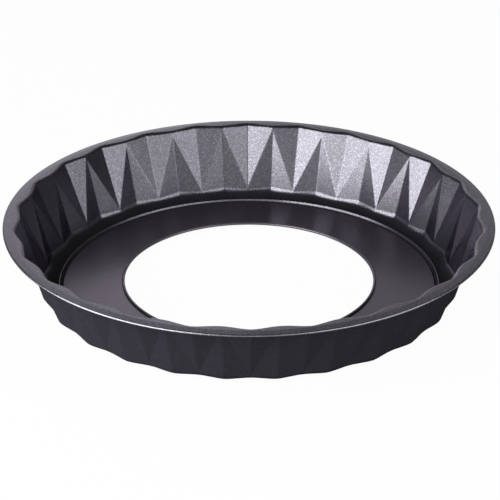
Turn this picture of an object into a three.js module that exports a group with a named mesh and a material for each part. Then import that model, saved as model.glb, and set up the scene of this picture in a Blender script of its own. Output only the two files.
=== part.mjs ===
// A round fluted baking pan of coated sheet steel: a deep ring whose wall is folded into triangular
// facets, and a loose ring-shaped base that drops into a step at the foot of the wall.
// Millimetres, +Z up, origin on the pan's axis at the level that it stands on.
import * as THREE from 'three';

// Sheet steel and the hems, where its edges are folded back on themselves
const SHEET = 0.5;
const HEM_GAP = 0.2;
const RIM_HEM_WIDTH = 3;
const OPENING_HEM_WIDTH = 2.6;

// Loose base and its seat
const RECESS_RADIUS = 116.5;
const BASE_CLEARANCE = 0.6;
const SEAT_CLEARANCE = 0.2;
const SEAT_WIDTH = 8.5;
const BASE_WIDTH = 39;
const BASE_CROWN = 2;
const STEP_ABOVE_BASE = 1.8;

// Fluted wall and the rounded lip that falls from it to the rim
const FLUTES = 26;
const PAN_HEIGHT = 45.1;
const LEDGE_WIDTH = 5.2;
const FOOT_RADIUS = 5.5;
const WALL_LEAN = THREE.MathUtils.degToRad(21.3);
const FLUTE_DEPTH_AT_FOOT = 2.2;
const FLUTE_DEPTH_AT_RIM = 3.1;
const RIM_BEND_RADIUS = 2.5;
const LIP_LEVEL_WIDTH = 0.25;
const LIP_RADIUS = 11.7;
const LIP_FALL = THREE.MathUtils.degToRad(20);

// Fineness of the round shapes
const COLUMNS_PER_FLUTE = 4;
const BASE_COLUMNS = 72;
const CROWN_STEPS = 3;
const HEM_STEPS = 4;
const FOOT_STEPS = 3;
const BEND_STEPS = 3;
const LIP_STEPS = 3;
const RETURN_STEPS = 2;

// Levels
const seatTop = SHEET;
const baseBottom = seatTop + SEAT_CLEARANCE;
const ledgeTop = baseBottom + SHEET + STEP_ABOVE_BASE;
const bendRadius = RIM_BEND_RADIUS + SHEET;
const wallFootLevel = ledgeTop + FOOT_RADIUS * (1 - Math.sin(WALL_LEAN));
const wallTopLevel = PAN_HEIGHT - bendRadius * (1 - Math.sin(WALL_LEAN));

// Radii, with the wall's taken halfway between its inner and outer creases
const footArcRadius = RECESS_RADIUS + LEDGE_WIDTH;
const wallFootRadius = footArcRadius + FOOT_RADIUS * Math.cos(WALL_LEAN);
const wallTopRadius = wallFootRadius + (wallTopLevel - wallFootLevel) * Math.tan(WALL_LEAN);
const bendCentreRadius = wallTopRadius + bendRadius * Math.cos(WALL_LEAN);
const lipCentreRadius = bendCentreRadius + FLUTE_DEPTH_AT_RIM / 2 + LIP_LEVEL_WIDTH;
const baseRadius = RECESS_RADIUS - BASE_CLEARANCE;
const openingRadius = baseRadius - BASE_WIDTH;

// Hems, whose radius is that of the fold's outer skin
const hemRadius = SHEET + HEM_GAP / 2;
const rimHemDistance = LIP_RADIUS - hemRadius;
const rimReturnRadius = LIP_RADIUS - 2 * hemRadius;
const rimReturnTurn = RIM_HEM_WIDTH / rimReturnRadius;
const openingHemCentre = openingRadius + hemRadius;
const openingHemLevel = BASE_CROWN + hemRadius;

const ringColumns = FLUTES * COLUMNS_PER_FLUTE;
const halfFlute = COLUMNS_PER_FLUTE / 2;
const straightUp = Math.PI / 2;

const nonStickCoat = new THREE.MeshStandardMaterial({
  color: 0x454149, roughness: 0.45, metalness: 0.7, flatShading: true,
});
const baseCoat = new THREE.MeshStandardMaterial({ color: 0x3b373c, roughness: 0.35, metalness: 0.7 });

// A point at a radius and height, in the half plane that stands at an angle round the axis
function around(angle, radius, height) {
  return new THREE.Vector3(radius * Math.cos(angle), radius * Math.sin(angle), height);
}

// Steps of an arc in a section as outward and upward distances from its centre, both ends included
function arc(radius, from, to, steps) {
  return Array.from({ length: steps + 1 }, (_, step) => {
    const angle = from + ((to - from) * step) / steps;
    return { out: radius * Math.cos(angle), up: radius * Math.sin(angle) };
  });
}

// A closed sheet that runs all the way round the axis. Each column lists the sheet's two skins from one
// cut edge to the other, with the upper skin on the left of that path. The quads of a skin are split from
// corner to corner, and a column says whether that split rises or falls towards the next column.
function sweptSheet(columns) {
  const stations = columns[0].upper.length;
  const positions = [];
  const indices = [];
  for (const { upper, lower } of columns) {
    for (const point of [...upper, ...lower]) {
      positions.push(point.x, point.y, point.z);
    }
  }
  const vertex = (column, skin, station) => ((column % columns.length) * 2 + skin) * stations + station;
  const quad = (a, b, c, d) => indices.push(a, b, c, a, c, d);
  columns.forEach(({ splitRises }, column) => {
    const next = column + 1;
    for (let station = 0; station < stations - 1; station += 1) {
      for (const skin of [0, 1]) {
        const corners = [
          vertex(column, skin, station),
          vertex(column, skin, station + 1),
          vertex(next, skin, station + 1),
          vertex(next, skin, station),
        ];
        const turned = splitRises ? corners : [...corners.slice(1), corners[0]];
        const [a, b, c, d] = turned;
        if (skin === 0) {
          quad(a, b, c, d);
        } else {
          quad(a, d, c, b);
        }
      }
    }
    const last = stations - 1;
    quad(vertex(column, 0, 0), vertex(next, 0, 0), vertex(next, 1, 0), vertex(column, 1, 0));
    quad(vertex(column, 0, last), vertex(column, 1, last), vertex(next, 1, last), vertex(next, 0, last));
  });
  const geometry = new THREE.BufferGeometry();
  geometry.setAttribute('position', new THREE.Float32BufferAttribute(positions, 3));
  geometry.setIndex(indices);
  geometry.computeVertexNormals();
  return geometry;
}

// Outer and inner creases of one flute. The outer crease of the rim runs down to an inner corner of the
// foot, and the inner crease of the rim runs down to an outer corner, so each side folds along a diagonal.
function fluteCorners(flute, afterInnerCrease) {
  const fluteAngle = (2 * Math.PI) / FLUTES;
  const outerAngle = straightUp + (flute + (afterInnerCrease ? 1 : 0)) * fluteAngle;
  const innerAngle = straightUp + (flute + 0.5) * fluteAngle;
  return {
    outerTop: around(outerAngle, wallTopRadius + FLUTE_DEPTH_AT_RIM / 2, wallTopLevel),
    outerFoot: around(outerAngle, wallFootRadius - FLUTE_DEPTH_AT_FOOT / 2, wallFootLevel),
    innerTop: around(innerAngle, wallTopRadius - FLUTE_DEPTH_AT_RIM / 2, wallTopLevel),
    innerFoot: around(innerAngle, wallFootRadius + FLUTE_DEPTH_AT_FOOT / 2, wallFootLevel),
  };
}

// A point on the two flat triangles between an outer crease (across 0) and an inner one (across 1)
function facetPoint(corners, across, rise) {
  const { outerTop, outerFoot, innerTop, innerFoot } = corners;
  const point = outerFoot.clone();
  if (rise >= across) {
    point.addScaledVector(outerTop.clone().sub(outerFoot), rise);
    return point.addScaledVector(innerTop.clone().sub(outerTop), across);
  }
  point.addScaledVector(innerFoot.clone().sub(outerFoot), across);
  return point.addScaledVector(innerTop.clone().sub(innerFoot), rise);
}

// One skin of the ring's sheet in one column, a depth below the skin that faces up and inwards: seat,
// step, ledge, foot, wall, bend, lip and the hem that is folded under the rim
function ringSkin(column, depth) {
  const angle = straightUp + (column * 2 * Math.PI) / ringColumns;
  const flute = Math.floor(column / COLUMNS_PER_FLUTE);
  const inFlute = column % COLUMNS_PER_FLUTE;
  const across = 1 - Math.abs(inFlute / halfFlute - 1);
  const corners = fluteCorners(flute, inFlute > halfFlute);
  const outwards = around(angle, 1, 0);
  const beside = (point, out, up) => point.clone().addScaledVector(outwards, out).setZ(point.z + up);
  const skinOut = depth * Math.cos(WALL_LEAN);
  const skinUp = -depth * Math.sin(WALL_LEAN);
  const wall = Array.from({ length: halfFlute + 1 }, (_, step) =>
    beside(facetPoint(corners, across, step / halfFlute), skinOut, skinUp));

  const footCentre = beside(wall[0], -skinOut - FOOT_RADIUS * Math.cos(WALL_LEAN),
    -skinUp + FOOT_RADIUS * Math.sin(WALL_LEAN));
  const foot = arc(FOOT_RADIUS + depth, -straightUp, -WALL_LEAN, FOOT_STEPS);
  const bendCentre = beside(wall[halfFlute], -skinOut + bendRadius * Math.cos(WALL_LEAN),
    -skinUp - bendRadius * Math.sin(WALL_LEAN));
  const bend = arc(bendRadius - depth, Math.PI - WALL_LEAN, straightUp, BEND_STEPS);
  const lipEnd = straightUp - LIP_FALL;
  const lipCentre = around(angle, lipCentreRadius, PAN_HEIGHT - LIP_RADIUS);
  const lip = arc(LIP_RADIUS - depth, straightUp, lipEnd, LIP_STEPS);
  const hemCentre = beside(lipCentre, rimHemDistance * Math.cos(lipEnd), rimHemDistance * Math.sin(lipEnd));
  const hem = arc(hemRadius - depth, lipEnd, lipEnd - Math.PI, HEM_STEPS);
  const hemReturn = arc(rimReturnRadius + depth, lipEnd, lipEnd + rimReturnTurn, RETURN_STEPS);
  return [
    around(angle, RECESS_RADIUS - SEAT_WIDTH, seatTop - depth),
    around(angle, RECESS_RADIUS + depth, seatTop - depth),
    around(angle, RECESS_RADIUS + depth, ledgeTop - depth),
    ...foot.slice(0, -1).map(({ out, up }) => beside(footCentre, out, up)),
    ...wall,
    ...bend.slice(1).map(({ out, up }) => beside(bendCentre, out, up)),
    ...lip.map(({ out, up }) => beside(lipCentre, out, up)),
    ...hem.slice(1).map(({ out, up }) => beside(hemCentre, out, up)),
    ...hemReturn.slice(1).map(({ out, up }) => beside(lipCentre, out, up)),
  ];
}

function flutedRingGeometry() {
  return sweptSheet(Array.from({ length: ringColumns }, (_, column) => ({
    upper: ringSkin(column, 0),
    lower: ringSkin(column, SHEET),
    splitRises: column % COLUMNS_PER_FLUTE < halfFlute,
  })));
}

// One skin of the base's sheet in one column, a depth below its top: the hem that is folded over the
// opening's edge, from its cut edge, and the plate, which sinks from its crown to its level edge
function baseSkin(column, depth) {
  const angle = (column * 2 * Math.PI) / BASE_COLUMNS;
  const hem = arc(HEM_GAP / 2 + depth, straightUp, straightUp * 3, HEM_STEPS);
  const plate = Array.from({ length: CROWN_STEPS }, (_, step) => {
    const share = (step + 1) / CROWN_STEPS;
    return around(angle, THREE.MathUtils.lerp(openingHemCentre, baseRadius, share),
      SHEET - depth + BASE_CROWN * (1 - share) ** 2);
  });
  return [
    around(angle, openingRadius + OPENING_HEM_WIDTH, openingHemLevel + hem[0].up),
    ...hem.map(({ out, up }) => around(angle, openingHemCentre + out, openingHemLevel + up)),
    ...plate,
  ];
}

function looseBaseGeometry() {
  return sweptSheet(Array.from({ length: BASE_COLUMNS }, (_, column) => ({
    upper: baseSkin(column, 0),
    lower: baseSkin(column, SHEET),
    splitRises: true,
  })));
}

function piece(name, geometry, material) {
  const mesh = new THREE.Mesh(geometry, material);
  mesh.name = name;
  return mesh;
}

const pan = new THREE.Group();
pan.add(piece('fluted_ring', flutedRingGeometry(), nonStickCoat));

const base = piece('loose_base', looseBaseGeometry(), baseCoat);
base.position.z = baseBottom;
pan.add(base);

export default pan;
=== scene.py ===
"""A round fluted baking pan of dark coated steel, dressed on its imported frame.

A pressed ring stands round a loose base. The ring's side is folded into triangular facets between a
rounded lip and a seat, and the base is a flat ring whose large open centre has a curled edge. Sizes
are in metres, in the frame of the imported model.
"""
import logging
import math
from dataclasses import dataclass
from enum import Enum
from typing import Any

import bmesh
import bpy
from mathutils import Matrix, Vector


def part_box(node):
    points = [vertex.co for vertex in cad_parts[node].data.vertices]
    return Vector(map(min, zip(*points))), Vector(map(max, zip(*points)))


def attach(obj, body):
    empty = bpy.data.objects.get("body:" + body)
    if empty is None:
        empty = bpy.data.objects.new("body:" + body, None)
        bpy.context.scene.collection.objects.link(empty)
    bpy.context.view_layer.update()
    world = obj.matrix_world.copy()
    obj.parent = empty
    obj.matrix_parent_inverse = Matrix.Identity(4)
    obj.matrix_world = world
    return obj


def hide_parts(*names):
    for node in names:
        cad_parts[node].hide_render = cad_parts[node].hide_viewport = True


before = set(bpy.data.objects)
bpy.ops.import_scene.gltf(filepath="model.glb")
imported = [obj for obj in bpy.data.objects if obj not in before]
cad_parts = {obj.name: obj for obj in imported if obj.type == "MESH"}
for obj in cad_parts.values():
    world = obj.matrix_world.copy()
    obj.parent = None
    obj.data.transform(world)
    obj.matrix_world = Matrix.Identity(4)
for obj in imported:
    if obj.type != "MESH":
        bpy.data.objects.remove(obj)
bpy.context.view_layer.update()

IMAGE_WIDTH = 500

UP = Vector((0, 0, 1))
QUARTER_TURN = math.pi / 2
FULL_TURN = 2 * math.pi
SAME_PLACE = 1e-6
# The bearing of the pan's far side, where an outer crease lies.
FAR_SIDE = QUARTER_TURN
# How far the base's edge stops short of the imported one, so that a dark line shows inside the bead.
EDGE_GAP = 0.0014
# The name of the ring's attribute that says how much painted shade darkens its seat and groove.
GROOVE_SHADE_SHARE = "groove_shade_share"
# The value that a noise texture sways round.
NOISE_MIDDLE = 0.5

Colour = tuple[float, float, float]

log = logging.getLogger("baking_pan")


class Channel:
    """A number that varies over a surface: a shader socket with Python's arithmetic on it."""

    def __init__(self, graph: "FinishGraph", socket: bpy.types.NodeSocket) -> None:
        """Wrap a socket of a graph."""
        self.graph = graph
        self.socket = socket

    def _math(self, operation: str, first: Any, second: Any) -> "Channel":
        """Add a Math node.

        Args:
            operation: The Math node's operation.
            first: Its first value or channel.
            second: Its second value or channel.

        Returns:
            The node's result.
        """
        made = self.graph.node("ShaderNodeMath", {"operation": operation}, {0: first, 1: second})
        return Channel(self.graph, made.outputs[0])

    def __add__(self, other: Any) -> "Channel":
        """Return the sum."""
        return self._math("ADD", self, other)

    __radd__ = __add__

    def __sub__(self, other: Any) -> "Channel":
        """Return this channel less the other."""
        return self._math("SUBTRACT", self, other)

    def __rsub__(self, other: Any) -> "Channel":
        """Return the other less this channel."""
        return self._math("SUBTRACT", other, self)

    def __mul__(self, other: Any) -> "Channel":
        """Return the product."""
        return self._math("MULTIPLY", self, other)

    __rmul__ = __mul__

    def larger(self, other: Any) -> "Channel":
        """Return the larger of the two."""
        return self._math("MAXIMUM", self, other)


class FinishGraph:
    """The node graph of one material or of the world."""

    def __init__(self, owner: bpy.types.Material | bpy.types.World) -> None:
        """Empty the owner's node tree and keep it.

        Args:
            owner: The material or world whose nodes are made here.
        """
        owner.use_nodes = True
        self.tree = owner.node_tree
        self.tree.nodes.clear()

    def node(self, kind: str, settings: dict[str, Any] | None = None,
             inputs: dict[str | int, Any] | None = None) -> bpy.types.Node:
        """Add a node.

        Args:
            kind: The node's type.
            settings: Properties of the node, which are set first, and a ramp's stops.
            inputs: Values, sockets or channels for its sockets, by name or number.

        Returns:
            The node.
        """
        made = self.tree.nodes.new(kind)
        for name, value in (settings or {}).items():
            if name == "stops":
                self._set_stops(made, value)
            else:
                setattr(made, name, value)
        for name, value in (inputs or {}).items():
            self.feed(made.inputs[name], value)
        return made

    def feed(self, socket: bpy.types.NodeSocket, value: Any) -> None:
        """Link a socket, or set its value.

        Args:
            socket: The socket that is fed.
            value: A channel or a socket to link, or a plain value.
        """
        source = value.socket if isinstance(value, Channel) else value
        if isinstance(source, bpy.types.NodeSocket):
            self.tree.links.new(source, socket)
        else:
            socket.default_value = source

    def _set_stops(self, ramp: bpy.types.Node, stops: list[tuple[float, float]]) -> None:
        """Give a ramp its grey stops.

        Args:
            ramp: The colour ramp's node.
            stops: A position and a grey level for each stop.
        """
        elements = ramp.color_ramp.elements
        while len(elements) < len(stops):
            elements.new(1.0)
        for element, (position, level) in zip(elements, stops):
            element.position = position
            element.color = (level, level, level, 1)

    def channel(self, kind: str, output: str, settings: dict[str, Any] | None = None,
                inputs: dict[str | int, Any] | None = None) -> Channel:
        """Add a node and return one of its outputs as a channel.

        Args:
            kind: The node's type.
            output: The name of the output.
            settings: As for a node.
            inputs: As for a node.

        Returns:
            The output.
        """
        return Channel(self, self.node(kind, settings, inputs).outputs[output])

    def spread(self, low: Colour, high: Colour, share: Channel) -> bpy.types.NodeSocket:
        """Mix two colours.

        Args:
            low: The colour where the share is 0.
            high: The colour where the share is 1.
            share: The share of the second colour.

        Returns:
            The mixed colour's socket.
        """
        settings = {"data_type": "RGBA", "clamp_factor": True}
        mixed = self.node("ShaderNodeMix", settings, {0: share, 6: (*low, 1), 7: (*high, 1)})
        return mixed.outputs[2]


@dataclass(frozen=True)
class FleckedCoat:
    """A dark non-stick coat on steel, with fine metallic flecks in it."""

    name: str
    dark: Colour
    light: Colour
    metallic: float
    roughness: float
    specular: float
    fleck_size: float
    fleck_amount: float
    grain_size: float
    grain_depth: float
    fleck_start: float = 0.5
    light_share: float = 0.15
    grain_detail: float = 2
    patch_detail: float = 1
    patch_size: float = 0.03
    patch_amount: float = 0.08
    patch_roughness: float = 0.06
    edge_tint: Colour = (0.96, 0.92, 1)

    def surface(self, graph: FinishGraph) -> bpy.types.NodeSocket:
        """Make the coat's shader.

        Args:
            graph: The graph of the material that wears the coat.

        Returns:
            The shader's socket, with flecks, grain and patches on Object coordinates.
        """
        place = graph.node("ShaderNodeTexCoord").outputs["Object"]
        cells = graph.node("ShaderNodeTexVoronoi", {"feature": "F1"},
                           {"Vector": place, "Scale": 1 / self.fleck_size})
        draw = graph.channel("ShaderNodeSeparateColor", "Red", None, {"Color": cells.outputs["Color"]})
        fleck = graph.channel("ShaderNodeValToRGB", "Color",
                              {"stops": [(self.fleck_start, 0), (1, 1)]}, {"Fac": draw})
        grain = graph.channel("ShaderNodeTexNoise", "Fac", None,
                              {"Vector": place, "Scale": 1 / self.grain_size, "Detail": self.grain_detail})
        patch = graph.channel("ShaderNodeTexNoise", "Fac", None,
                              {"Vector": place, "Scale": 1 / self.patch_size, "Detail": self.patch_detail})
        sway = patch - NOISE_MIDDLE
        share = fleck * self.fleck_amount + sway * self.patch_amount + self.light_share
        roughness = sway * self.patch_roughness + self.roughness
        bump = graph.node("ShaderNodeBump", None,
                          {"Strength": 1, "Distance": self.grain_depth, "Height": grain})
        coat = graph.node("ShaderNodeBsdfPrincipled", None, {
            "Base Color": graph.spread(self.dark, self.light, share),
            "Metallic": self.metallic,
            "Roughness": roughness,
            "Specular IOR Level": self.specular,
            "Specular Tint": (*self.edge_tint, 1),
            "Normal": bump.outputs["Normal"],
        })
        return coat.outputs[0]

    def build(self) -> bpy.types.Material:
        """Make the material.

        Returns:
            The material, which wears this coat alone.
        """
        material = bpy.data.materials.new(self.name)
        graph = FinishGraph(material)
        graph.node("ShaderNodeOutputMaterial", None, {"Surface": self.surface(graph)})
        return material


@dataclass(frozen=True)
class PaintedShadeCoat:
    """A coat that passes softly into a near-black one, which is painted shade in the seat and groove."""

    name: str
    thin: FleckedCoat
    shade_coat: FleckedCoat

    def build(self) -> bpy.types.Material:
        """Make the material.

        Returns:
            The material, whose share of painted shade is an attribute of the mesh.
        """
        material = bpy.data.materials.new(self.name)
        graph = FinishGraph(material)
        shade_share = graph.channel("ShaderNodeAttribute", "Fac", {"attribute_name": GROOVE_SHADE_SHARE})
        surface = graph.node("ShaderNodeMixShader", None,
                             {0: shade_share, 1: self.thin.surface(graph), 2: self.shade_coat.surface(graph)})
        graph.node("ShaderNodeOutputMaterial", None, {"Surface": surface.outputs[0]})
        return material


@dataclass(frozen=True)
class StudioPaper:
    """Pale paper under the pan, which looks white and keeps a soft shadow."""

    name: str = "studio_paper"
    colour: Colour = (0.45, 0.45, 0.46)
    whiteness: float = 0.97

    def build(self) -> bpy.types.Material:
        """Make the material.

        Returns:
            The material, which shows as white to the camera, in metal and through glass.
        """
        material = bpy.data.materials.new(self.name)
        graph = FinishGraph(material)
        path = graph.node("ShaderNodeLightPath").outputs
        seen = Channel(graph, path["Is Camera Ray"])
        seen = seen.larger(Channel(graph, path["Is Glossy Ray"]))
        seen = seen.larger(Channel(graph, path["Is Transmission Ray"]))
        paper = graph.node("ShaderNodeBsdfDiffuse", None, {"Color": (*self.colour, 1)})
        white = graph.node("ShaderNodeEmission", None, {"Color": (1, 1, 1, 1), "Strength": 1})
        surface = graph.node("ShaderNodeMixShader", None,
                             {0: seen * self.whiteness, 1: paper.outputs[0], 2: white.outputs[0]})
        graph.node("ShaderNodeOutputMaterial", None, {"Surface": surface.outputs[0]})
        return material


class SectionLine:
    """A line of edges in the half plane that stands at one bearing round the pan's axis."""

    def __init__(self, mesh: bmesh.types.BMesh, bearing: float, radius: float, level: float) -> None:
        """Start the line.

        Args:
            mesh: The mesh that the line is drawn in.
            bearing: The half plane's angle round the axis, from +X.
            radius: Distance of the first point from the axis.
            level: Height of the first point.
        """
        self.mesh = mesh
        self.outward = Vector((math.cos(bearing), math.sin(bearing), 0))
        self.verts = [mesh.verts.new(self.point(radius, level))]
        self.edges: list[bmesh.types.BMEdge] = []

    def point(self, radius: float, level: float) -> Vector:
        """Return the point of the half plane at a radius and a level."""
        return self.outward * radius + UP * level

    def straight(self, radius: float, level: float) -> None:
        """Draw straight on to a point.

        Args:
            radius: Distance of the point from the axis.
            level: Height of the point.
        """
        made = bmesh.ops.extrude_vert_indiv(self.mesh, verts=self.verts[-1:])
        made["verts"][0].co = self.point(radius, level)
        self.verts += made["verts"]
        self.edges += made["edges"]

    def arc(self, radius: float, level: float, turn: float, steps: int) -> None:
        """Draw on round a centre.

        Args:
            radius: Distance of the centre from the axis.
            level: Height of the centre.
            turn: The angle to turn, positive where the outer side of the centre rises.
            steps: The number of straight steps.
        """
        bmesh.ops.spin(self.mesh, geom=self.verts[-1:], cent=self.point(radius, level),
                       axis=self.outward.cross(UP), angle=turn, steps=steps)
        for _ in range(steps):
            last = self.verts[-1]
            ahead = next(edge for edge in last.link_edges if edge not in self.edges[-1:])
            self.edges.append(ahead)
            self.verts.append(ahead.other_vert(last))

    def turn_round(self, steps: int) -> None:
        """Sweep the line all the way round the pan's axis.

        Args:
            steps: The number of steps in the full turn.
        """
        bmesh.ops.spin(self.mesh, geom=self.verts + self.edges, cent=(0, 0, 0), axis=UP,
                       angle=FULL_TURN, steps=steps, use_merge=True)


class SheetPiece:
    """What pressed sheet pieces share: a skin that faces up and inwards gets the sheet's thickness."""

    @staticmethod
    def thicken(mesh: bmesh.types.BMesh, sheet: float) -> None:
        """Turn a skin's faces up and add the sheet's other skin below them.

        Args:
            mesh: The mesh that holds the skin alone. The faces of the other skin get material 1.
            sheet: The sheet's thickness.
        """
        bmesh.ops.remove_doubles(mesh, verts=mesh.verts, dist=SAME_PLACE)
        bmesh.ops.recalc_face_normals(mesh, faces=mesh.faces)
        widest = max(mesh.faces, key=lambda face: abs(face.normal.z) * face.calc_area())
        if widest.normal.z < 0:
            bmesh.ops.reverse_faces(mesh, faces=mesh.faces)
        skin = set(mesh.faces)
        bmesh.ops.solidify(mesh, geom=mesh.faces[:], thickness=sheet)
        for face in mesh.faces:
            face.material_index = 0 if face in skin else 1

    @staticmethod
    def finish(mesh: bmesh.types.BMesh, name: str, sharp: float = math.radians(35)) -> bpy.types.Object:
        """Make an object of a mesh, with smooth rounds, flat flats and crisp cut edges.

        Args:
            mesh: The finished mesh, which is freed.
            name: The piece's name.
            sharp: The fold from which an edge shows as a crisp one.

        Returns:
            The object, at the origin.
        """
        data = bpy.data.meshes.new(name)
        mesh.to_mesh(data)
        mesh.free()
        data.polygons.foreach_set("use_smooth", [True] * len(data.polygons))
        data.set_sharp_from_angle(angle=sharp)
        piece = bpy.data.objects.new(name, data)
        bpy.context.scene.collection.objects.link(piece)
        flats = piece.modifiers.new("flat_faces_stay_flat", "WEIGHTED_NORMAL")
        flats.keep_sharp = True
        return piece


class Crease(Enum):
    """A flute's two folds: which way each stands off the wall at the rim and at the foot."""

    OUTER = (1, -1)
    INNER = (-1, 1)


@dataclass
class FlutedRing(SheetPiece):
    """The pressed ring, one sheet: seat, bead, groove, foot, faceted wall, bend, lip and hemmed rim."""

    height: float
    rim_radius: float = 0.1502
    sheet: float = 0.0005
    seat_edge: float = 0.1147
    seat_width: float = 0.0067
    seat_round: float = 0.0018
    bead_top: float = 0.0026
    bead_width: float = 0.0003
    bead_round: float = 0.0004
    bead_lean: float = math.radians(20)
    groove_level: float = 0.00217
    groove_round: float = 0.0002
    # Slopes below which the seat and the groove get painted shade, and how softly it fades out.
    groove_slope: float = math.radians(43)
    seat_slope: float = math.radians(62)
    shade_fade: float = math.radians(14)
    foot_circle: float = 0.1204
    foot_radius: float = 0.0068
    foot_coat: float = 0.0005
    flutes: int = 26
    depth_at_foot: float = 0.0022
    depth_at_rim: float = 0.0031
    crease_round: float = 0.0006
    bend_radius: float = 0.003
    lip_circle: float = 0.1452
    lip_level_width: float = 0.00023
    lip_fall: float = math.radians(8)
    shoulder_radius: float = 0.001
    hem_radius: float = 0.0003
    hem_width: float = 0.003
    columns: int = 312
    foot_steps: int = 8
    bend_steps: int = 8
    crease_steps: int = 3
    wave_cuts: int = 5
    hem_steps: int = 10
    round_steps: int = 5

    @property
    def foot_centre(self) -> Vector:
        """Return the radius and level of the foot's centre, halfway between the creases."""
        return Vector((self.foot_circle, self.groove_level + self.foot_radius))

    @property
    def bend_centre(self) -> Vector:
        """Return the radius and level of the centre of the wall's bend, halfway between the creases."""
        radius = self.lip_circle - self.lip_level_width - self.depth_at_rim / 2
        return Vector((radius, self.height - self.bend_radius))

    @property
    def bead_circle(self) -> float:
        """Return the radius of the circle round which the bead's inner edge is rounded."""
        rise = self.bead_top - self.bead_round - self.sheet - self.seat_round
        return self.seat_edge + self.flank(rise, self.seat_round + self.bead_round)

    def crease_line(self, mesh: bmesh.types.BMesh, crease: Crease, bearing: float) -> SectionLine:
        """Draw the sheet's section along one crease, from the groove up to the level top of the bend.

        Args:
            mesh: The mesh that the line is drawn in.
            crease: The crease that the line runs along.
            bearing: The crease's angle round the axis.

        Returns:
            The line.
        """
        off_at_rim, off_at_foot = crease.value
        foot = self.foot_centre + Vector((off_at_foot * self.depth_at_foot / 2, 0))
        bend = self.bend_centre + Vector((off_at_rim * self.depth_at_rim / 2, 0))
        span = bend - foot
        touch_angle = math.acos((self.foot_radius + self.bend_radius) / span.length)
        lean = touch_angle - math.atan2(span.y, span.x)
        wall_top = bend + self.bend_radius * Vector((-math.cos(lean), math.sin(lean)))
        line = SectionLine(mesh, bearing, foot.x, self.groove_level)
        line.arc(foot.x, foot.y, QUARTER_TURN - lean, self.foot_steps)
        line.straight(wall_top.x, wall_top.y)
        line.arc(bend.x, bend.y, lean - QUARTER_TURN, self.bend_steps)
        return line

    def add_wall(self, mesh: bmesh.types.BMesh) -> None:
        """Fold the wall: half a flute between two creases, mirrored, repeated and rounded.

        Args:
            mesh: The mesh, which is empty.
        """
        folds = mesh.edges.layers.int.new("fold")
        pitch = FULL_TURN / self.flutes
        outer = self.crease_line(mesh, Crease.OUTER, FAR_SIDE)
        inner = self.crease_line(mesh, Crease.INNER, FAR_SIDE - pitch / 2)
        bmesh.ops.bridge_loops(mesh, edges=outer.edges + inner.edges)
        foot, top = self.foot_steps, self.foot_steps + 1
        diagonal = bmesh.ops.connect_verts(mesh, verts=[outer.verts[foot], inner.verts[top]])
        for edge in outer.edges + inner.edges + diagonal["edges"]:
            edge[folds] = 1
        self.wave_rounds(mesh, outer, inner)
        half = mesh.verts[:] + mesh.edges[:] + mesh.faces[:]
        bmesh.ops.mirror(mesh, geom=half, matrix=Matrix(), merge_dist=SAME_PLACE, axis="X")
        flute = mesh.verts[:] + mesh.edges[:] + mesh.faces[:]
        bmesh.ops.spin(mesh, geom=flute, cent=(0, 0, 0), axis=UP, angle=FULL_TURN - pitch,
                       steps=self.flutes - 1, use_duplicate=True)
        bmesh.ops.remove_doubles(mesh, verts=mesh.verts, dist=SAME_PLACE)
        bmesh.ops.recalc_face_normals(mesh, faces=mesh.faces)
        creases = [edge for edge in mesh.edges if edge[folds]]
        bmesh.ops.bevel(mesh, geom=creases, offset=self.crease_round, offset_type="OFFSET",
                        segments=self.crease_steps, profile=0.5, affect="EDGES", material=-1,
                        clamp_overlap=True)

    def wave_rounds(self, mesh: bmesh.types.BMesh, outer: SectionLine, inner: SectionLine) -> None:
        """Let the rounds above and below the straight facets run in a soft wave from crease to crease.

        Args:
            mesh: The mesh that holds half a flute.
            outer: The line along its outer crease.
            inner: The line along its inner crease.
        """
        foot, top = self.foot_steps, self.foot_steps + 1
        rows = [*range(foot), *range(top + 1, len(outer.verts))]
        rungs = [edge for row in rows for edge in outer.verts[row].link_edges
                 if inner.verts[row] in edge.verts]
        wall_foot = min(outer.verts[foot].co.z, inner.verts[foot].co.z)
        wall_top = max(outer.verts[top].co.z, inner.verts[top].co.z)
        cut = bmesh.ops.subdivide_edges(mesh, edges=rungs, cuts=self.wave_cuts, use_grid_fill=True)
        for vert in cut["geom_inner"]:
            if isinstance(vert, bmesh.types.BMVert):
                share = (FAR_SIDE - math.atan2(vert.co.y, vert.co.x)) * self.flutes / math.pi
                # The wave less the straight line that the cut leaves between the creases.
                bulge = math.cos(math.pi * share) - (1 - 2 * share)
                above = max((vert.co.z - wall_top) / (self.height - wall_top), 0)
                below = max((wall_foot - vert.co.z) / (wall_foot - self.groove_level), 0)
                swing = (above * self.depth_at_rim - below * self.depth_at_foot) / 2
                vert.co += vert.co.xy.normalized().to_3d() * (bulge * swing)

    def add_rim(self, mesh: bmesh.types.BMesh) -> None:
        """Let the lip fall to a round shoulder, and fold its edge back under it in a hem.

        Args:
            mesh: The mesh that holds the wall.
        """
        outward = Vector((math.cos(self.lip_fall), -math.sin(self.lip_fall)))
        off = Vector((math.sin(self.lip_fall), math.cos(self.lip_fall)))
        crest = Vector((self.lip_circle, self.height - self.bend_radius))
        start = crest + self.bend_radius * off
        reach = self.rim_radius + self.shoulder_radius * (off.x - 1) - start.x
        end = start + outward * (reach / outward.x)
        shoulder = end - self.shoulder_radius * off
        hem = Vector((self.rim_radius - self.hem_radius, shoulder.y))
        inner_edge = hem - self.hem_radius * off - self.hem_width * outward
        rim = SectionLine(mesh, FAR_SIDE, crest.x, self.height)
        rim.arc(crest.x, crest.y, -self.lip_fall, self.round_steps)
        rim.straight(end.x, end.y)
        rim.arc(shoulder.x, shoulder.y, self.lip_fall - QUARTER_TURN, self.hem_steps)
        rim.arc(hem.x, hem.y, -self.lip_fall - QUARTER_TURN, self.hem_steps)
        rim.straight(inner_edge.x, inner_edge.y)
        rim.turn_round(self.columns)

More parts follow.
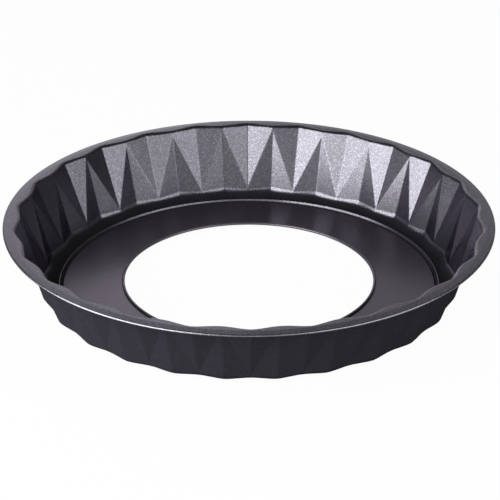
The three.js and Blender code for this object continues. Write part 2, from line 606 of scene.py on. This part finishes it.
    def flank(self, height: float, rounds: float) -> float:
        """Return how far apart two rounds of the bead lie along the radius.

        Args:
            height: How much higher the centre of one round is.
            rounds: The sum of their radii.

        Returns:
            The distance between their centres, where a leaning flank touches both.
        """
        return (height * math.sin(self.bead_lean) + rounds) / math.cos(self.bead_lean)

    def add_seat(self, mesh: bmesh.types.BMesh) -> None:
        """Press the seat that the loose base lies on, and the bead round it.

        Args:
            mesh: The mesh that holds the wall.
        """
        turn = QUARTER_TURN - self.bead_lean
        across, along = math.cos(self.bead_lean), math.sin(self.bead_lean)
        seat_level = self.sheet + self.seat_round
        bead_level = self.bead_top - self.bead_round
        groove_level = self.groove_level + self.groove_round
        bead = self.bead_circle
        outer = bead + self.bead_width
        groove = outer + self.flank(bead_level - groove_level, self.bead_round + self.groove_round)
        line = SectionLine(mesh, FAR_SIDE, self.seat_edge - self.seat_width, self.sheet)
        line.straight(self.seat_edge, self.sheet)
        line.arc(self.seat_edge, seat_level, turn, self.round_steps)
        line.straight(bead - self.bead_round * across, bead_level + self.bead_round * along)
        line.arc(bead, bead_level, -turn, self.round_steps)
        line.straight(outer, self.bead_top)
        line.arc(outer, bead_level, -turn, self.round_steps)
        line.straight(groove - self.groove_round * across, groove_level - self.groove_round * along)
        line.arc(groove, groove_level, turn, self.round_steps)
        line.turn_round(self.columns)

    @staticmethod
    def fill_level(mesh: bmesh.types.BMesh, level: float) -> None:
        """Fill the flat ring between the two open loops at one level.

        Args:
            mesh: The mesh that holds the loops.
            level: Their height.
        """
        loops = [edge for edge in mesh.edges
                 if edge.is_boundary and all(abs(vert.co.z - level) < SAME_PLACE for vert in edge.verts)]
        bmesh.ops.triangle_fill(mesh, use_beauty=True, edges=loops, normal=UP)

    def deepen_foot(self, mesh: bmesh.types.BMesh) -> None:
        """Let the outer coat grow thicker down the wall's upper half, and thin out under the foot.

        Args:
            mesh: The mesh of the thickened ring.
        """
        mesh.normal_update()
        for vert in mesh.verts:
            radius = vert.co.xy.length
            outer = all(face.material_index == 1 for face in vert.link_faces)
            if outer and self.foot_circle < radius < self.lip_circle:
                under_foot = min((radius - self.foot_circle) / (self.foot_radius / 2), 1)
                down_wall = min((self.height - vert.co.z) / (self.height / 2), 1)
                vert.co += vert.normal * self.foot_coat * under_foot * down_wall

    def part_coats(self, mesh: bmesh.types.BMesh) -> None:
        """Give the rim's shoulder a lighter coat, which paints a brighter highlight, and the hem's
        underside the outer coat.

        Args:
            mesh: The mesh of the thickened ring.
        """
        mesh.normal_update()
        shoulder_start = self.rim_radius - self.shoulder_radius
        for face in mesh.faces:
            radius = face.calc_center_median().xy.length
            slope = face.normal.angle(UP, 0)
            if slope > QUARTER_TURN and radius > self.lip_circle:
                face.material_index = 1
            # The shoulder's lighter coat is a painted highlight.
            elif slope > 2 * self.lip_fall and radius > shoulder_start:
                face.material_index = 2

    def paint_groove_shade(self, mesh: bmesh.types.BMesh) -> None:
        """Mark how much painted shade darkens the flatter parts of the seat and of the groove.

        Args:
            mesh: The mesh of the thickened ring.
        """
        mesh.normal_update()
        shade_share = mesh.verts.layers.float.new(GROOVE_SHADE_SHARE)
        bead_start = self.bead_circle - self.bead_round
        bead_end = self.bead_circle + self.bead_width + self.bead_round
        groove_end = self.foot_circle + self.foot_radius
        for vert in mesh.verts:
            radius = vert.co.xy.length
            # Painted shade: the flatter the seat or groove, the more of the near-black coat.
            if radius < bead_start or bead_end < radius < groove_end:
                limit = self.seat_slope if radius < bead_start else self.groove_slope
                share = 0.5 + (limit - vert.normal.angle(UP, 0)) / self.shade_fade
                vert[shade_share] = min(max(share, 0), 1)

    def build(self) -> bpy.types.Object:
        """Build the ring's sheet.

        Returns:
            The piece, with its inner coat and painted shade in slot 0, its outer coat in 1 and its rim's
            painted highlight in 2.
        """
        mesh = bmesh.new()
        self.add_wall(mesh)
        self.add_rim(mesh)
        self.add_seat(mesh)
        self.fill_level(mesh, self.height)
        self.fill_level(mesh, self.groove_level)
        self.thicken(mesh, self.sheet)
        self.deepen_foot(mesh)
        self.part_coats(mesh)
        self.paint_groove_shade(mesh)
        piece = self.finish(mesh, "fluted_ring_sheet")
        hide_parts("fluted_ring")
        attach(piece, "ring")
        return piece

    def dress(self, piece: bpy.types.Object, *coats: FleckedCoat | PaintedShadeCoat) -> None:
        """Coat the ring.

        Args:
            piece: The ring's sheet.
            coats: The coats of the inner side, the outer side and the rim.
        """
        for coat in coats:
            piece.data.materials.append(coat.build())


@dataclass
class LooseBase(SheetPiece):
    """The loose base: a flat ring with a low crown, whose open centre has an edge curled up and back."""

    radius: float
    bottom: float
    sheet: float = 0.0005
    opening_radius: float = 0.0767
    crown: float = 0.002
    curl_radius: float = 0.0004
    curl_turn: float = math.radians(255)
    columns: int = 288
    crown_steps: int = 10
    curl_steps: int = 16

    def build(self) -> bpy.types.Object:
        """Build the base's sheet.

        Returns:
            The piece.
        """
        mesh = bmesh.new()
        top = self.bottom + self.sheet
        curl = self.opening_radius + self.curl_radius + self.sheet
        lean = 2 * math.atan2(self.crown, self.radius - curl)
        bow = self.crown / (1 - math.cos(lean)) + self.curl_radius
        line = SectionLine(mesh, FAR_SIDE, self.radius, top)
        line.arc(self.radius, top + bow, -lean, self.crown_steps)
        line.arc(curl, top + self.crown + self.curl_radius, -self.curl_turn, self.curl_steps)
        line.turn_round(self.columns)
        self.thicken(mesh, self.sheet)
        piece = self.finish(mesh, "loose_base_sheet")
        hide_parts("loose_base")
        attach(piece, "base")
        return piece

    def dress(self, piece: bpy.types.Object, coat: FleckedCoat) -> None:
        """Coat the base on both sides.

        Args:
            piece: The base's sheet.
            coat: The coat.
        """
        material = coat.build()
        piece.data.materials.append(material)
        piece.data.materials.append(material)


@dataclass(frozen=True)
class Softbox:
    """A soft lamp that faces the pan."""

    name: str
    bearing: float
    elevation: float
    distance: float
    width: float
    height: float
    brightness: float

    def build(self, target: Vector) -> bpy.types.Object:
        """Make the lamp.

        Args:
            target: The point that it faces.

        Returns:
            The lamp's object.
        """
        level = math.cos(math.radians(self.elevation))
        bearing = math.radians(self.bearing)
        away = Vector((math.cos(bearing) * level, math.sin(bearing) * level,
                       math.sin(math.radians(self.elevation))))
        data = bpy.data.lights.new(self.name, "AREA")
        data.shape = "RECTANGLE"
        data.size = self.width
        data.size_y = self.height
        data.energy = self.brightness * math.pi * self.width * self.height
        lamp = bpy.data.objects.new(self.name, data)
        lamp.location = target + away * self.distance
        lamp.rotation_euler = away.to_track_quat("Z", "Y").to_euler()
        lamp.visible_camera = False
        bpy.context.scene.collection.objects.link(lamp)
        return lamp


@dataclass
class Studio:
    """The floor, the lamps, the dim room and the camera."""

    rim_level: float = 0.04384
    floor_radius: float = 6.0
    floor_sides: int = 64
    floor_drop: float = 0.0004
    room_light: float = 0.14
    camera_bearing: float = -90.45
    camera_elevation: float = 25.8
    camera_distance: float = 1.569
    focal_pixels: float = 2566
    shift_right: float = 1.04
    shift_down: float = 30.43
    sensor_width: float = 36.0

    def build(self, lamps: list[Softbox], paper: StudioPaper) -> None:
        """Set the studio up.

        Args:
            lamps: The lamps.
            paper: The floor's finish.
        """
        bpy.context.scene.view_settings.view_transform = "Standard"
        self._lay_floor(paper)
        self._dim_room()
        for lamp in lamps:
            lamp.build(Vector((0, 0, self.rim_level / 2)))
        self._place_camera()

    def _lay_floor(self, paper: StudioPaper) -> None:
        """Lay the paper just under the pan.

        Args:
            paper: The floor's finish.
        """
        mesh = bmesh.new()
        bmesh.ops.create_circle(mesh, cap_ends=True, segments=self.floor_sides, radius=self.floor_radius,
                                matrix=Matrix.Translation(-UP * self.floor_drop))
        data = bpy.data.meshes.new("floor")
        mesh.to_mesh(data)
        mesh.free()
        data.materials.append(paper.build())
        floor = bpy.data.objects.new("floor", data)
        bpy.context.scene.collection.objects.link(floor)

    def _dim_room(self) -> None:
        """Give the room an even, dim light."""
        room = bpy.data.worlds.new("room")
        bpy.context.scene.world = room
        graph = FinishGraph(room)
        glow = graph.node("ShaderNodeBackground", None,
                          {"Color": (1, 1, 1, 1), "Strength": self.room_light})
        graph.node("ShaderNodeOutputWorld", None, {"Surface": glow.outputs[0]})

    def _place_camera(self) -> None:
        """Stand the camera where the photograph was taken from."""
        elevation = math.radians(self.camera_elevation)
        bearing = math.radians(self.camera_bearing)
        towards = Vector((math.cos(bearing), math.sin(bearing), 0))
        back = towards * math.cos(elevation) + UP * math.sin(elevation)
        data = bpy.data.cameras.new("camera")
        data.sensor_width = self.sensor_width
        data.lens = self.sensor_width * self.focal_pixels / IMAGE_WIDTH
        data.shift_x = self.shift_right / IMAGE_WIDTH
        data.shift_y = -self.shift_down / IMAGE_WIDTH
        camera = bpy.data.objects.new("camera", data)
        camera.location = UP * self.rim_level + back * self.camera_distance
        camera.rotation_euler = back.to_track_quat("Z", "Y").to_euler()
        bpy.context.scene.collection.objects.link(camera)
        bpy.context.scene.camera = camera


INSIDE_COAT = FleckedCoat(
    name="flecked_inside_coat", dark=(0.057, 0.055, 0.064), light=(0.2, 0.193, 0.223), metallic=1,
    roughness=0.27, specular=0.5, fleck_size=0.0005, fleck_amount=0.43,
    grain_size=0.0004, grain_depth=0.00001,
)
OUTSIDE_COAT = FleckedCoat(
    name="smooth_outside_coat", dark=(0.0166, 0.016, 0.0204), light=(0.0367, 0.0354, 0.0446), metallic=0,
    roughness=0.5, specular=0, fleck_size=0.0008, fleck_amount=0.25,
    grain_size=0.0012, grain_depth=0.00001,
)
# A lighter coat on the rim's shoulder: a painted highlight along the rim's edge.
RIM_HIGHLIGHT_COAT = FleckedCoat(
    name="rim_painted_highlight_coat", dark=(0.115, 0.11, 0.121), light=(0.32, 0.307, 0.338), metallic=1,
    roughness=0.27, specular=0.5, fleck_size=0.0006, fleck_amount=0.3,
    grain_size=0.0005, grain_depth=0.00001,
)
# Near-black coat: painted shade in the seat and groove, mixed into the inner coat by the ring's attribute.
GROOVE_PAINTED_SHADE = FleckedCoat(
    name="groove_painted_shade_coat", dark=(0.008, 0.0076, 0.0095), light=(0.018, 0.0172, 0.0214), metallic=0,
    roughness=0.5, specular=0, fleck_size=0.0008, fleck_amount=0.25,
    grain_size=0.0012, grain_depth=0.00001,
)
INSIDE_COAT_WITH_SHADE = PaintedShadeCoat("inside_coat_with_painted_shade", thin=INSIDE_COAT, shade_coat=GROOVE_PAINTED_SHADE)
BASE_COAT = FleckedCoat(
    name="satin_base_coat", dark=(0.0765, 0.0675, 0.083), light=(0.129, 0.114, 0.14), metallic=0.85,
    roughness=0.28, specular=0.5, fleck_size=0.0006, fleck_amount=0.25,
    grain_size=0.0012, grain_depth=0.000008,
)
LAMPS = [
    Softbox("left_softbox", bearing=211.8, elevation=26, distance=0.9,
            width=1.05, height=0.87, brightness=7.9),
    Softbox("left_side", bearing=183, elevation=6.5, distance=1.5,
            width=0.8, height=0.34, brightness=3.4),
    Softbox("right_softbox", bearing=324, elevation=27, distance=0.9,
            width=0.96, height=0.62, brightness=3.3),
    Softbox("front_fill", bearing=268, elevation=22.5, distance=1.6,
            width=1.3, height=0.82, brightness=1.45),
    Softbox("left_backdrop", bearing=104, elevation=24, distance=1.8,
            width=0.78, height=1.7, brightness=1.05),
    Softbox("right_backdrop", bearing=79, elevation=24, distance=1.8,
            width=0.85, height=1.7, brightness=0.55),
]


def main() -> None:
    """Build and dress the pan's pieces and set up the studio."""
    logging.basicConfig(level=logging.INFO, format="%(name)s: %(message)s")
    ring_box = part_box("fluted_ring")
    base_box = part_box("loose_base")

    ring = FlutedRing(height=ring_box[1].z)
    ring_piece = ring.build()
    ring.dress(ring_piece, INSIDE_COAT_WITH_SHADE, OUTSIDE_COAT, RIM_HIGHLIGHT_COAT)
    log.info("%s: %d faces", ring_piece.name, len(ring_piece.data.polygons))

    base = LooseBase(radius=base_box[1].x - EDGE_GAP, bottom=base_box[0].z)
    base_piece = base.build()
    base.dress(base_piece, BASE_COAT)
    log.info("%s: %d faces", base_piece.name, len(base_piece.data.polygons))

    Studio().build(LAMPS, StudioPaper())


if __name__ == "__main__":
    main()
